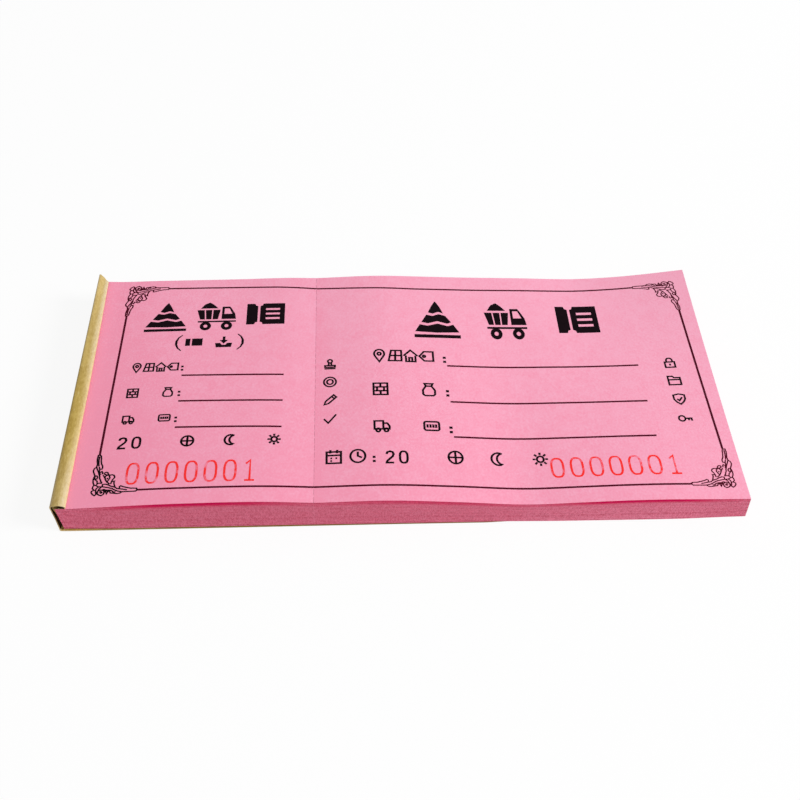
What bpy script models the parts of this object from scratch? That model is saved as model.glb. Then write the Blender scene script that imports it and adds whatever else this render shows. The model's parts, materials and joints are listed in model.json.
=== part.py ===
"""Ticket book: a glued pad of perforated pink leaves in a kraft cover that is folded round to its back."""

import math

import bmesh
import bpy

# Driving sizes in millimetres and degrees. X runs from the fold of the cover to the free edge of the
# leaves, Y from the front edge to the back edge, and Z up from the table.
MM = 0.001
BOOK_DEPTH = 87.5
SHEET_LENGTH = 172.0
STUB_LENGTH = 61.2
PERFORATION_GAP = 0.3
BOUND_WIDTH = 1.75
SPINE_LEAN = 0.85

LEAF_COUNT = 100
SINGLE_LEAVES = 10
BUNDLE_LEAVES = 10
LEAF_THICKNESS = 0.05
BUNDLE_GAP = 0.02

# Height of the leaf stack at stations along the stub and along the ticket, each as (share of the length, height).
STUB_WAVE = ((0.0, 7.61), (0.45, 8.67), (0.84, 8.68), (1.0, 8.04))
TICKET_WAVE = ((0.0, 8.04), (0.18, 8.37), (0.33, 7.15), (0.49, 5.63), (0.63, 6.13), (0.81, 6.56), (1.0, 6.95))
STUB_SPANS = 6
TICKET_SPANS = 11

KRAFT_THICKNESS = 0.22
COVER_GAP = 0.3
PAD_GAP = 0.11
FILM_GAP = 0.03
GLUE_THICKNESS = 0.12
FLAP_GAP = 0.04
FLAP_EDGE_X = 0.15
FOLD_HEIGHT = 0.78
LIP_CLEARANCE = 0.1
ARCH_RISE = 0.6
ARCH_SPANS = 8
WALL_GAP = 0.25
CORNER_GAP = 0.2

TOP_LEAF_HINGE_X = 2.5
HINGE_CLEARANCE = 0.3
FAN_CLEARANCE = 0.02
TOP_LEAF_TURN = 150.0
LEAF_TURN_STEP = 9.0
BUNDLE_TURN = 60.0
BUNDLE_TURN_STEP = 7.0

PINK = (0.83, 0.33, 0.45, 1.0)
KRAFT = (0.50, 0.35, 0.13, 1.0)
GLUE = (0.72, 0.66, 0.48, 1.0)


# Levels from the table up: front cover, back cover, leaf stack.
COVER_MID_Z = KRAFT_THICKNESS / 2
BACK_Z = KRAFT_THICKNESS + COVER_GAP
STACK_Z = BACK_Z + KRAFT_THICKNESS + PAD_GAP
BOUND_HEIGHT = STUB_WAVE[0][1]
BOUND_TOP = STACK_Z + BOUND_HEIGHT
TICKET_LENGTH = SHEET_LENGTH - STUB_LENGTH


def eased(stations, share):
    """Height at a share of the length, with a smooth swell between stations."""
    for (start, low), (end, high) in zip(stations, stations[1:]):
        if share <= end:
            part = (share - start) / (end - start)
            return low + (high - low) * (1 - math.cos(math.pi * part)) / 2
    return stations[-1][1]


def stack_height(x):
    """Height of the whole leaf stack above its base at x."""
    if x <= 0:
        return BOUND_HEIGHT
    if x <= STUB_LENGTH:
        return eased(STUB_WAVE, x / STUB_LENGTH)
    return eased(TICKET_WAVE, (x - STUB_LENGTH) / TICKET_LENGTH)


def level(x, leaves_below):
    """Height at x of the surface that has this many leaves under it."""
    return STACK_Z + stack_height(x) * leaves_below / LEAF_COUNT


def spine_x(z, out=0.0):
    """Left end of the leaning leaf stack at height z, or a face that lies out from it."""
    return -BOUND_WIDTH - SPINE_LEAN * (z - STACK_Z) / BOUND_HEIGHT - out


# The leaf layers from the top down: single leaves first, then bundles. Each turns about its top left edge, and
# each edge stands a little to the right of the one above, so that the turned leaves stay clear of each other.
bundle_count = (LEAF_COUNT - SINGLE_LEAVES) // BUNDLE_LEAVES
layers = []
for number in range(SINGLE_LEAVES):
    layers.append({
        "name": f"{number + 1:03d}",
        "top": LEAF_COUNT - number,
        "low": LEAF_COUNT - number - 1,
        "turn": TOP_LEAF_TURN - LEAF_TURN_STEP * number,
    })
for number in range(bundle_count):
    top = LEAF_COUNT - SINGLE_LEAVES - BUNDLE_LEAVES * number
    layers.append({
        "name": f"bundle_{number + 1}",
        "top": top,
        "low": top - BUNDLE_LEAVES,
        "turn": BUNDLE_TURN - BUNDLE_TURN_STEP * number,
    })
hinge_x = TOP_LEAF_HINGE_X
for upper, layer in zip([None] + layers, layers):
    if upper:
        pitch = stack_height(hinge_x) * (upper["top"] - upper["low"]) / LEAF_COUNT
        hinge_x += pitch * math.tan(math.radians(layer["turn"]) / 2) + FAN_CLEARANCE
    layer["hinge"] = (hinge_x, level(hinge_x, layer["top"]))

# The cover's fold lines: at the flap's lip, at the top of the spine wall and at its foot.
spine_out = GLUE_THICKNESS + KRAFT_THICKNESS + 2 * FILM_GAP
wall_out = spine_out + WALL_GAP + KRAFT_THICKNESS / 2
fold_a = (FLAP_EDGE_X - KRAFT_THICKNESS / 2, BOUND_TOP + FOLD_HEIGHT)
fold_b = (spine_x(BOUND_TOP, wall_out), fold_a[1])
fold_c = (spine_x(STACK_Z, wall_out), COVER_MID_Z)
wall_length = math.dist(fold_b, fold_c)
closed_corner_x = fold_a[0] + math.dist(fold_a, fold_b) + wall_length
cover_end_x = fold_c[0] + SHEET_LENGTH - closed_corner_x

left_x = min(fold_b[0], fold_c[0]) - KRAFT_THICKNESS / 2
centre = ((left_x + SHEET_LENGTH) / 2, BOOK_DEPTH / 2)


def material(name, colour, roughness):
    """Own Principled material of one piece."""
    made = bpy.data.materials.new(name)
    made.use_nodes = True
    shader = made.node_tree.nodes["Principled BSDF"]
    shader.inputs["Base Color"].default_value = colour
    shader.inputs["Roughness"].default_value = roughness
    shader.inputs["Metallic"].default_value = 0.0
    return made


def offset_rows(path, thickness):
    """The two faces of a bent strip that follows a path, with mitred bends."""
    rows = ([], [])
    for index, (x, z) in enumerate(path):
        before = path[max(index - 1, 0)]
        after = path[min(index + 1, len(path) - 1)]
        arms = [(x - before[0], z - before[1]), (after[0] - x, after[1] - z)]
        units = [(dx / math.hypot(dx, dz), dz / math.hypot(dx, dz)) for dx, dz in arms if dx or dz]
        along = (sum(u[0] for u in units), sum(u[1] for u in units))
        size = math.hypot(*along)
        normal = (-along[1] / size, along[0] / size)
        mitre = 1 / (normal[1] * units[0][0] - normal[0] * units[0][1])
        reach = thickness / 2 * mitre
        rows[0].append((x - normal[0] * reach, z - normal[1] * reach))
        rows[1].append((x + normal[0] * reach, z + normal[1] * reach))
    return rows


def ribbon(name, row_a, row_b, colour, roughness, origin=(0.0, 0.0), parent=None, parent_origin=(0.0, 0.0)):
    """Closed solid between two rows of section points, swept over the book's depth, with its origin on a fold."""
    shape = bmesh.new()
    rows = []
    for row in (row_a, row_b):
        rows.append([shape.verts.new(((x - origin[0]) * MM, 0.0, (z - origin[1]) * MM)) for x, z in row])
    section = []
    for index in range(len(row_a) - 1):
        section.append(shape.faces.new(
            (rows[0][index], rows[0][index + 1], rows[1][index + 1], rows[1][index])))
    swept = bmesh.ops.extrude_face_region(shape, geom=section)
    moved = [item for item in swept["geom"] if isinstance(item, bmesh.types.BMVert)]
    bmesh.ops.translate(shape, verts=moved, vec=(0.0, BOOK_DEPTH * MM, 0.0))
    bmesh.ops.recalc_face_normals(shape, faces=shape.faces)
    mesh = bpy.data.meshes.new(name)
    shape.to_mesh(mesh)
    shape.free()
    piece = bpy.data.objects.new(name, mesh)
    piece.data.materials.append(material(name, colour, roughness))
    bpy.context.collection.objects.link(piece)
    if parent:
        piece.parent = parent
        piece.location = ((origin[0] - parent_origin[0]) * MM, 0.0, (origin[1] - parent_origin[1]) * MM)
    else:
        piece.location = ((origin[0] - centre[0]) * MM, -centre[1] * MM, origin[1] * MM)
    return piece


def spread(start, end, spans):
    """Evenly spaced places from start to end."""
    return [start + (end - start) * index / spans for index in range(spans + 1)]


def leaf_rows(layer, places):
    """Under and upper face of one layer of leaves at the given places."""
    upper = [(x, level(x, layer["top"])) for x in places]
    if layer["top"] - layer["low"] == 1:
        lower = [(x, z - LEAF_THICKNESS) for x, z in upper]
    else:
        lower = [(x, level(x, layer["low"]) + BUNDLE_GAP) for x in places]
    return lower, upper


for old in list(bpy.data.objects):
    bpy.data.objects.remove(old, do_unlink=True)

# Kraft cover, glued part: back panel under the pad, panel on the spine, flap with its lip on the bound margin.
ribbon("back_cover",
       [(spine_x(STACK_Z, spine_out), BACK_Z), (SHEET_LENGTH, BACK_Z)],
       [(spine_x(STACK_Z, spine_out), BACK_Z + KRAFT_THICKNESS), (SHEET_LENGTH, BACK_Z + KRAFT_THICKNESS)],
       KRAFT, 0.85)
panel_in = GLUE_THICKNESS + 2 * FILM_GAP
ribbon("spine_panel",
       [(spine_x(z, spine_out), z) for z in (STACK_Z, BOUND_TOP)],
       [(spine_x(z, panel_in), z) for z in (STACK_Z, BOUND_TOP)],
       KRAFT, 0.85)
flap_mid_z = BOUND_TOP + FLAP_GAP + KRAFT_THICKNESS / 2
lip_top = fold_a[1] - KRAFT_THICKNESS / 2 - LIP_CLEARANCE
flap_path = [(spine_x(BOUND_TOP, spine_out), flap_mid_z), (fold_a[0], flap_mid_z), (fold_a[0], lip_top)]
ribbon("hinge_flap", *offset_rows(flap_path, KRAFT_THICKNESS), KRAFT, 0.85)

# Spine glue and the bound margin of all leaves, whose right end steps along with the leaves' hinge lines.
ribbon("spine_glue",
       [(spine_x(z, panel_in - FILM_GAP), z) for z in (STACK_Z, BOUND_TOP)],
       [(spine_x(z, FILM_GAP), z) for z in (STACK_Z, BOUND_TOP)],
       GLUE, 0.5)
margin_right = [(layers[0]["hinge"][0] - HINGE_CLEARANCE, BOUND_TOP)]
for upper, layer in zip(layers, layers[1:]):
    margin_right.append((upper["hinge"][0] - HINGE_CLEARANCE, layer["hinge"][1]))
margin_right.append((layers[-1]["hinge"][0] - HINGE_CLEARANCE, STACK_Z))
margin_left = [(spine_x(z), z) for x, z in margin_right]
ribbon("bound_margin", margin_left, margin_right, PINK, 0.8)

# Kraft cover, loose part: arched strip over the flap, wall down the spine, front panel under the back.
half_chord = math.dist(fold_a, fold_b) / 2
radius = (half_chord ** 2 + ARCH_RISE ** 2) / (2 * ARCH_RISE)
half_angle = math.asin(half_chord / radius)
arch_mid = ((fold_a[0] + fold_b[0]) / 2, fold_a[1] + ARCH_RISE - radius)
arch_end = 2 * half_angle - CORNER_GAP / radius
arch_path = []
for turn in spread(0.0, arch_end, ARCH_SPANS):
    angle = math.pi / 2 - half_angle + turn
    arch_path.append((arch_mid[0] + radius * math.cos(angle), arch_mid[1] + radius * math.sin(angle)))
strip = ribbon("cover_fold_strip", *offset_rows(arch_path, KRAFT_THICKNESS), KRAFT, 0.85, fold_a)

wall_share = CORNER_GAP / wall_length
wall_path = []
for share in (wall_share, 1 - wall_share):
    wall_path.append(tuple(b + (c - b) * share for b, c in zip(fold_b, fold_c)))
wall = ribbon("cover_spine_wall", *offset_rows(wall_path, KRAFT_THICKNESS), KRAFT, 0.85, fold_b, strip, fold_a)

cover_start_x = fold_c[0] - KRAFT_THICKNESS / 2
ribbon("front_cover",
       [(cover_start_x, 0.0), (cover_end_x, 0.0)],
       [(cover_start_x, KRAFT_THICKNESS), (cover_end_x, KRAFT_THICKNESS)],
       KRAFT, 0.85, fold_c, wall, fold_b)

# Leaves: a stub and a ticket in each layer, parted at the perforation.
stub_end = STUB_LENGTH - PERFORATION_GAP / 2
ticket_places = spread(STUB_LENGTH + PERFORATION_GAP / 2, SHEET_LENGTH, TICKET_SPANS)
stub_places = spread(0.0, stub_end, STUB_SPANS)[1:]
for layer in layers:
    places = [layer["hinge"][0]] + stub_places
    stub = ribbon("stub_" + layer["name"], *leaf_rows(layer, places), PINK, 0.8, layer["hinge"])
    ribbon("ticket_" + layer["name"], *leaf_rows(layer, ticket_places), PINK, 0.8,
           layer["hinge"], stub, layer["hinge"])

for name, place in (("A", fold_a), ("B", fold_b), ("C", fold_c)):
    print(f"fold {name} at x {place[0] - centre[0]:.4f} z {place[1]:.4f} mm")
for layer in layers:
    print(f"leaf {layer['name']} turns {layer['turn']:.0f} about x {layer['hinge'][0] - centre[0]:.4f} "
          f"z {layer['hinge'][1]:.4f} mm")
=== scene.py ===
"""Ticket book: a glued pad of perforated, printed pink leaves in a kraft cover folded round to its back."""

import json
import math

import bpy
import numpy as np
from mathutils import Matrix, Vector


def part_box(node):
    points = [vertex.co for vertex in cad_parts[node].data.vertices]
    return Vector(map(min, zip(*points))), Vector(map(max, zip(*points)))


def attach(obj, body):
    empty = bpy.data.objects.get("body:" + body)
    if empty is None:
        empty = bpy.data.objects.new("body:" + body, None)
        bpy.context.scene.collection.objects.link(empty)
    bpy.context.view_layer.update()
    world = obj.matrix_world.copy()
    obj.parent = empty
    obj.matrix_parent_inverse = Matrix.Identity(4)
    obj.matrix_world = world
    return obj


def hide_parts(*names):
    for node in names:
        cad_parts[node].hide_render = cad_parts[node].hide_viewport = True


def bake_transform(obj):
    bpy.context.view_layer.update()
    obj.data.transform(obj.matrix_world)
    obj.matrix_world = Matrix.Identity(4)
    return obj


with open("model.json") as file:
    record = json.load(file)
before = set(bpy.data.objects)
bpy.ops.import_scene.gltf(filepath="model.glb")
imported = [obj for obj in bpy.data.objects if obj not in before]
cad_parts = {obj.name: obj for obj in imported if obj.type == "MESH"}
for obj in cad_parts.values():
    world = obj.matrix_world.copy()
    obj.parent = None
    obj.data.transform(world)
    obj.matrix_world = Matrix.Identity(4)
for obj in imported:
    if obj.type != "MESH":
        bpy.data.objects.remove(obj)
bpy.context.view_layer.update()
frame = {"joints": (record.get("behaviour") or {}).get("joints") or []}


# Leaf paper. Thin uncoated stock, dyed pink right through and trimmed in one block on a guillotine,
# so its faces are soft and faintly cloudy and its cut edges have a fine grain. The deeper pink of the cut
# edges is painted shade between the packed sheets. The faces carry painted shade by the bound end, beside
# the perforation and along the front edge of the loose top leaves, and a ramp that is partly painted light.
class Wire:
    """One output socket of a material, so that sums on it read as Python and become Math nodes."""

    def __init__(self, tree, out=None):
        self.tree = tree
        self.out = out

    def node(self, kind, settings, values, out=0):
        """A new node with its settings made first and its sockets filled by number or name."""
        made = self.tree.nodes.new(kind)
        for name, value in settings.items():
            setattr(made, name, value)
        for name, value in values.items():
            if isinstance(value, Wire):
                self.tree.links.new(value.out, made.inputs[name])
            else:
                made.inputs[name].default_value = value
        return Wire(self.tree, made.outputs[out])

    def sum(self, operation, first, second=0.0):
        return self.node("ShaderNodeMath", {"operation": operation}, {0: first, 1: second})

    def __add__(self, other):
        return self.sum("ADD", self, other)

    __radd__ = __add__

    def __sub__(self, other):
        return self.sum("SUBTRACT", self, other)

    def __rsub__(self, other):
        return self.sum("SUBTRACT", other, self)

    def __mul__(self, other):
        return self.sum("MULTIPLY", self, other)

    def clamp(self):
        return self.node("ShaderNodeClamp", {}, {0: self})

    def place(self, scale):
        """Object coordinates, stretched by three factors."""
        own = self.node("ShaderNodeTexCoord", {}, {}, "Object")
        return self.node("ShaderNodeMapping", {}, {"Vector": own, "Scale": scale})

    def axis(self, name):
        """One of the object coordinates, in metres."""
        return self.node("ShaderNodeSeparateXYZ", {}, {0: self.place((1, 1, 1))}, name)

    def kept(self, name):
        """A value that is kept on the points of a piece."""
        return self.node("ShaderNodeAttribute", {"attribute_name": name}, {}, "Fac")

    def cloud(self, scale, detail=2.0, roughness=0.5):
        """Noise around one half, with its grain size set by a scale per metre on each axis."""
        values = {"Vector": self.place(scale), "Scale": 1.0, "Detail": detail, "Roughness": roughness}
        return self.node("ShaderNodeTexNoise", {}, values)

    def blend(self, share, first, second):
        """Colour between two colours."""
        settings = {"data_type": "RGBA", "clamp_factor": True}
        return self.node("ShaderNodeMix", settings, {0: share, 6: first, 7: second}, 2)

    def finish(self, colour, roughness, height, depth, gloss=0.5):
        """Fills the material's Principled shader: colour, roughness, a fine relief and its gloss."""
        shader = self.tree.nodes["Principled BSDF"]
        shader.inputs["Specular IOR Level"].default_value = gloss
        bump = self.node("ShaderNodeBump", {}, {"Height": height, "Strength": 0.6, "Distance": depth})
        for name, wire in (("Base Color", colour), ("Roughness", roughness), ("Normal", bump)):
            self.tree.links.new(wire.out, shader.inputs[name])


def new_material(name):
    made = bpy.data.materials.new(name)
    made.use_nodes = True
    return made, Wire(made.node_tree)


MM = 0.001
MIDDLE_X = 84.265
PERFORATION = 61.35
PERFORATION_X = (PERFORATION - MIDDLE_X) * MM
PINK_LIGHT = (0.925, 0.404, 0.546, 1.0)
PINK_DEEP = (0.902, 0.305, 0.440, 1.0)
# Cut edges: the face's pink made deeper and redder, as painted shade between the packed sheets.
EDGE_SHADE_LIGHT = (0.695, 0.176, 0.266, 1.0)
EDGE_SHADE_DEEP = (0.506, 0.080, 0.131, 1.0)
# Painted shade of the gap under the loose top leaves: a deep crimson.
GAP_SHADE_LIGHT = (0.700, 0.012, 0.105, 1.0)
GAP_SHADE_DEEP = (0.590, 0.006, 0.078, 1.0)
HAZE_TONE, FELT_TONE, GRAIN_TONE = 0.9, 2.1, 3.8
ACROSS_TONE, ALONG_LIGHT_TONE = 5.0, 2.5
BOUND_SHADE_PLACE, BOUND_SHADE_RISE, BOUND_SHADE_TONE = -0.062, 45.0, 0.4
CREASE_SHADE_RISE, CREASE_SHADE_TONE = 200.0, 0.3
BRINK_PLACE, BRINK_RISE = -0.04355, 8000.0
SEAM_RISE, SEAM_TONE = 6000.0, 0.25
PAPER_RELIEF = 0.00003

leaf_face, wire = new_material("leaf_face")
haze = wire.cloud((260, 260, 260), 3.0)
felt = wire.cloud((1900, 1500, 1900), 2.0, 0.6)
across = wire.axis("Y")
along = wire.axis("X")
# Painted shade: the face darker towards the bound end of the leaves.
bound = ((BOUND_SHADE_PLACE - along) * BOUND_SHADE_RISE).clamp()
# Painted shade: the ticket side darker just past the perforation.
crease_shade = (1.0 - (along - PERFORATION_X) * CREASE_SHADE_RISE).clamp()
crease_shade = crease_shade * wire.sum("GREATER_THAN", along, PERFORATION_X)
# The share ramps lighter towards the back and towards the ticket end; the ramp along the length is painted
# light from the lamp side.
share = (haze - 0.5) * HAZE_TONE + (felt - 0.5) * FELT_TONE + across * ACROSS_TONE + along * ALONG_LIGHT_TONE + 0.5
share = share - bound * BOUND_SHADE_TONE - crease_shade * CREASE_SHADE_TONE
# Painted shade of the gap under the loose top leaves, on a thin strip of the face at the front edge.
brink_shade = ((BRINK_PLACE - across) * BRINK_RISE).clamp()
colour = wire.blend(wire.kept("loose") * brink_shade, wire.blend(share.clamp(), PINK_DEEP, PINK_LIGHT), GAP_SHADE_LIGHT)
wire.finish(colour, 0.74 + felt * 0.16, felt + haze * 0.4, PAPER_RELIEF, gloss=0.2)

leaf_edge, wire = new_material("leaf_edge")
grain = wire.cloud((2600, 2600, 1300), 3.0, 0.65)
share = ((grain - 0.5) * GRAIN_TONE + 0.5).clamp()
seam = (1.0 - wire.sum("ABSOLUTE", wire.axis("X") - PERFORATION_X) * SEAM_RISE).clamp()
# The cut edges' colour is painted shade, with a paler line where the perforation meets the edge.
packed_shade_colour = wire.blend(seam * SEAM_TONE, wire.blend(share, EDGE_SHADE_DEEP, EDGE_SHADE_LIGHT), PINK_LIGHT)
# The loose top leaves' cut edges take the crimson painted shade of the gap under them.
colour = wire.blend(wire.kept("loose"), packed_shade_colour, wire.blend(share, GAP_SHADE_DEEP, GAP_SHADE_LIGHT))
wire.finish(colour, 0.85 + grain * 0.1, grain, PAPER_RELIEF, gloss=0.0)


# Leaves. A hundred sheets, each from the glued spine to the free edge, with a perforation that parts the
# stub from the ticket. The pad has swelled and sagged, and its upper leaves curl up at one far corner.
MIDDLE_Y = 43.75
DEPTH = 87.5
LENGTH = 172.0
SLIT = 0.025
TIE_END = 0.003
STACK_Z = 0.85
LEAVES = 100
SINGLES = 10
BUNDLES = 9
BUNDLE_LEAVES = 10
SINGLE_FILL = 0.8
BUNDLE_FILL = 0.95
SHEET_DROP = 10
SMOOTH = math.radians(40)
SPINE_X = -1.75
SPINE_LEAN = 0.85
FRONT_LEAN = 0.22
FRONT_SHIFT = 0.34
FRONT_LEAN_DEPTH = 32.0
BEND = 1.6
FRONT_STUB = ((0, 7.61), (27.5, 8.85), (51.4, 8.80), (PERFORATION, 8.12))
BACK_STUB = ((0, 7.40), (2.5, 7.28), (7, 7.31), (13, 7.47), (20.6, 7.56), (38.4, 7.76), (55.0, 8.04),
             (PERFORATION, 7.84))
FRONT_TICKET = ((PERFORATION, 8.12), (81.1, 8.39), (97.8, 7.24), (115.5, 5.77), (130, 6.20), (141, 6.58),
                (151, 6.66), (162, 6.40), (172, 6.22))
BACK_TICKET = ((PERFORATION, 7.84), (80.4, 8.47), (92.4, 7.95), (106, 7.32), (122, 6.80), (134.5, 6.26),
               (152, 6.14), (172, 6.88))
CURL = 2.45
CURL_START = 138.0
CURL_LEAVES = 30.0
CURL_ALONG, CURL_ACROSS, CURL_UP = 1.35, 1.8, 2.5
PRESS = ((0, 0.0), (12, 0.37), (172, 0.37))
COVER_END = 156.8
COVER_FRONT = ((-3, -0.15), (1, -0.2), (25, -0.15), (82, -0.12), (105, -0.2), (122, 0.6), (COVER_END, 1.2))
HANG = 0.40
SAG = 0.24
SAG_RUN = 9.0
SLUMP = ((50, 0.0), (105, 0.25), (125, 0.36), (155, 0.38), (172, 0.1))
# How strong the painted shade line under the loose top leaves is along the length, and how deep it reaches.
GAP_SHADE_SHARE = ((0, 0.0), (5, 0.12), (9, 0.2), (13, 0.7), (17, 0.8), (21, 1.0), (36, 1.0), (46, 0.9),
               (54, 0.55), (61, 0.25), (70, 0.45), (84, 0.65), (95, 0.7), (104, 0.6), (115, 0.35), (125, 0.6),
               (134, 1.0), (157, 1.0), (164, 0.6), (172, 0.25))
GAP_SHADE_LEAVES = 22.0
GAP_SHADE_FADE = 14.0
GAP_SHADE_POWER = 1.5
TRIM_SPREAD = 0.015

draw = np.random.default_rng(61)
trim = draw.normal(0.0, TRIM_SPREAD, (LEAVES + 1, 3))
trim[LEAVES] = 0.0


def slope(x, stations):
    """Straight runs from station to station."""
    return np.interp(x, *np.array(stations, float).T)


def pick(values, index):
    """Values of a list at whole or part numbers."""
    return np.interp(index, np.arange(len(values)), values)


def swell(x, stations):
    """Smooth height through stations along the length."""
    places, heights = np.array(stations, float).T
    slopes = np.gradient(heights, places)
    index = np.clip(np.searchsorted(places, x) - 1, 0, len(places) - 2)
    span = places[index + 1] - places[index]
    t = np.clip((x - places[index]) / span, 0, 1)
    rise = heights[index + 1] - heights[index]
    start, end = slopes[index] * span, slopes[index + 1] * span
    square, cube = 3 * rise - 2 * start - end, start + end - 2 * rise
    return heights[index] + start * t + square * t ** 2 + cube * t ** 3


def spine_x(y, below):
    """Left end of the leaning leaves, which lean most and stand clear of the cover at the front."""
    front = np.clip(1 - y / FRONT_LEAN_DEPTH, 0, 1) ** 2
    return SPINE_X + FRONT_SHIFT * front - (SPINE_LEAN + FRONT_LEAN * front) * below / LEAVES


def cover_front(x):
    """Where the folded cover's front edge lies: out before the pad, or drawn back under it."""
    return slope(x, COVER_FRONT)


def rest_level(x, y):
    """Height of the underside of the leaves, which hang where the cover draws back or ends."""
    reach = np.clip(cover_front(x), 0, None)
    front = np.clip(reach, 0, 1) * np.clip(1 - y / np.maximum(reach, 0.01), 0, 1) ** 2
    end = np.clip((x - COVER_END) / SAG_RUN, 0, 1)
    return STACK_Z - slope(x, PRESS) - HANG * front * (1 - end) - SAG * end


def leaf_level(x, y, below):
    """Height of the surface that has this many leaves under it, at places in millimetres."""
    back = np.clip(y / DEPTH, 0, 1)
    on_stub = x <= PERFORATION
    front_edge = np.where(on_stub, swell(x, FRONT_STUB), swell(x, FRONT_TICKET))
    back_edge = np.where(on_stub, swell(x, BACK_STUB), swell(x, BACK_TICKET))
    height = front_edge + (back_edge - front_edge) * back
    corner = np.clip((x - CURL_START) / (LENGTH - CURL_START), 0, 1) ** CURL_ALONG * back ** CURL_ACROSS
    loose = np.clip((below - LEAVES + CURL_LEAVES) / CURL_LEAVES, 0, 1) ** CURL_UP
    rest = rest_level(x, y)
    return rest + (STACK_Z + height - rest) * below / LEAVES + CURL * corner * loose


def to_book(x, y, z):
    """Millimetres from the fold edge, the front edge and the table, as metres about the book's middle."""
    return np.stack((x - MIDDLE_X, y - MIDDLE_Y, z), 1) * MM


def flat_grid(name, columns, rows):
    """A grid whose points stand on whole numbers from nought."""
    bpy.ops.object.select_all(action="DESELECT")
    bpy.ops.mesh.primitive_grid_add(x_subdivisions=columns, y_subdivisions=rows, size=1)
    piece = bpy.context.object
    piece.name = name
    piece.data.name = name
    points = read_points(piece)
    points[:, 0] = np.rint((points[:, 0] + 0.5) * columns)
    points[:, 1] = np.rint((points[:, 1] + 0.5) * rows)
    write_points(piece, points)
    return piece


def read_points(piece):
    flat = np.zeros(len(piece.data.vertices) * 3, np.float32)
    piece.data.vertices.foreach_get("co", flat)
    return flat.reshape(-1, 3).astype(float)


def write_points(piece, points):
    piece.data.vertices.foreach_set("co", np.asarray(points, np.float32).ravel())
    piece.data.update()


def keep_value(piece, name, values):
    """Keeps one value on each point, for a material to read."""
    kept = piece.data.attributes.new(name, "FLOAT", "POINT")
    kept.data.foreach_set("value", values.ravel().astype(np.float32))


def apply_modifier(piece, kind, **settings):
    made = piece.modifiers.new(kind.lower(), kind)
    for name, value in settings.items():
        setattr(made, name, value)
    bpy.ops.object.modifier_apply(modifier=made.name)


def pull_ties(piece, column, way):
    """Draws the paper ties of the perforation out of every second edge of one end column."""
    points = read_points(piece)
    ends = np.zeros(len(piece.data.edges) * 2, np.int32)
    piece.data.edges.foreach_get("vertices", ends)
    ends = ends.reshape(-1, 2)
    at_end = (points[ends, 0] == column).all(1)
    tie = at_end & (points[ends, 1].min(1) % 2 == 1)
    piece.data.polygons.foreach_set("select", np.zeros(len(piece.data.polygons), bool))
    piece.data.vertices.foreach_set("select", np.zeros(len(piece.data.vertices), bool))
    piece.data.edges.foreach_set("select", tie)
    bpy.context.tool_settings.mesh_select_mode = (False, True, False)
    bpy.ops.object.mode_set(mode="EDIT")
    bpy.ops.mesh.extrude_edges_move(TRANSFORM_OT_translate={"value": (way, 0, 0)})
    bpy.ops.object.mode_set(mode="OBJECT")


def leaf_piece(name, places, lines, top, count, fill, ties=0):
    """One sheet or a stack of sheets over the given places along the length and lines across the depth."""
    first = 1 if ties < 0 else 0
    columns = len(places) - 1 - abs(ties)
    piece = flat_grid(name, columns, len(lines) - 1)
    if ties:
        pull_ties(piece, columns if ties > 0 else 0, ties)
    piece.data.materials.append(leaf_face)
    piece.data.materials.append(leaf_edge)
    apply_modifier(piece, "SOLIDIFY", thickness=1.0, offset=-1.0, material_offset_rim=1)
    apply_modifier(piece, "ARRAY", count=count, use_relative_offset=False, use_constant_offset=True,
                   constant_offset_displace=(0, 0, -SHEET_DROP))
    column, line, drop = read_points(piece).T
    sheet = np.rint((-drop - 0.5) / SHEET_DROP)
    depth = -drop - SHEET_DROP * sheet
    below = top - sheet
    x = pick(places, column + first)
    y = pick(lines, line)
    x = np.where(x < SPINE_X, spine_x(y, below), x)
    cut = trim[below.astype(int)]
    z = leaf_level(x, y, below) - depth * fill * swell(x, FRONT_TICKET) / LEAVES
    x = x + cut[:, 2] * np.clip((x - PERFORATION - 1) / (LENGTH - PERFORATION), 0, 1)
    slump = slope(x, SLUMP) * (1 - below / LEAVES)
    y = y + (cut[:, 0] - slump) * (1 - y / DEPTH) + cut[:, 1] * y / DEPTH
    write_points(piece, to_book(x, y, z))
    # Share of painted shade from the gap under the loose top leaves, kept on the points as loose.
    loose = np.clip((below - LEAVES + GAP_SHADE_LEAVES) / GAP_SHADE_FADE, 0, 1) ** GAP_SHADE_POWER * slope(x, GAP_SHADE_SHARE)
    keep_value(piece, "loose", loose * (below < LEAVES))
    bpy.ops.object.shade_smooth_by_angle(angle=SMOOTH)
    return piece


def stub_places(hinge):
    """Places along a stub: close together over a short run just past the hinge beside the glue."""
    bend = hinge + np.linspace(0, BEND, 13)
    return np.concatenate(([SPINE_X - 1, -0.9, 0.0, 1.2], bend, np.linspace(8, PERFORATION - SLIT, 28),
                           [PERFORATION - TIE_END]))


def bend_with(piece, hinge):
    """Bakes the piece's transform into its points; the place it works out from the hinge is not used."""
    x, z = (hinge[0] - MIDDLE_X) * MM, hinge[1] * MM
    x + BEND * MM
    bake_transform(piece)


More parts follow.
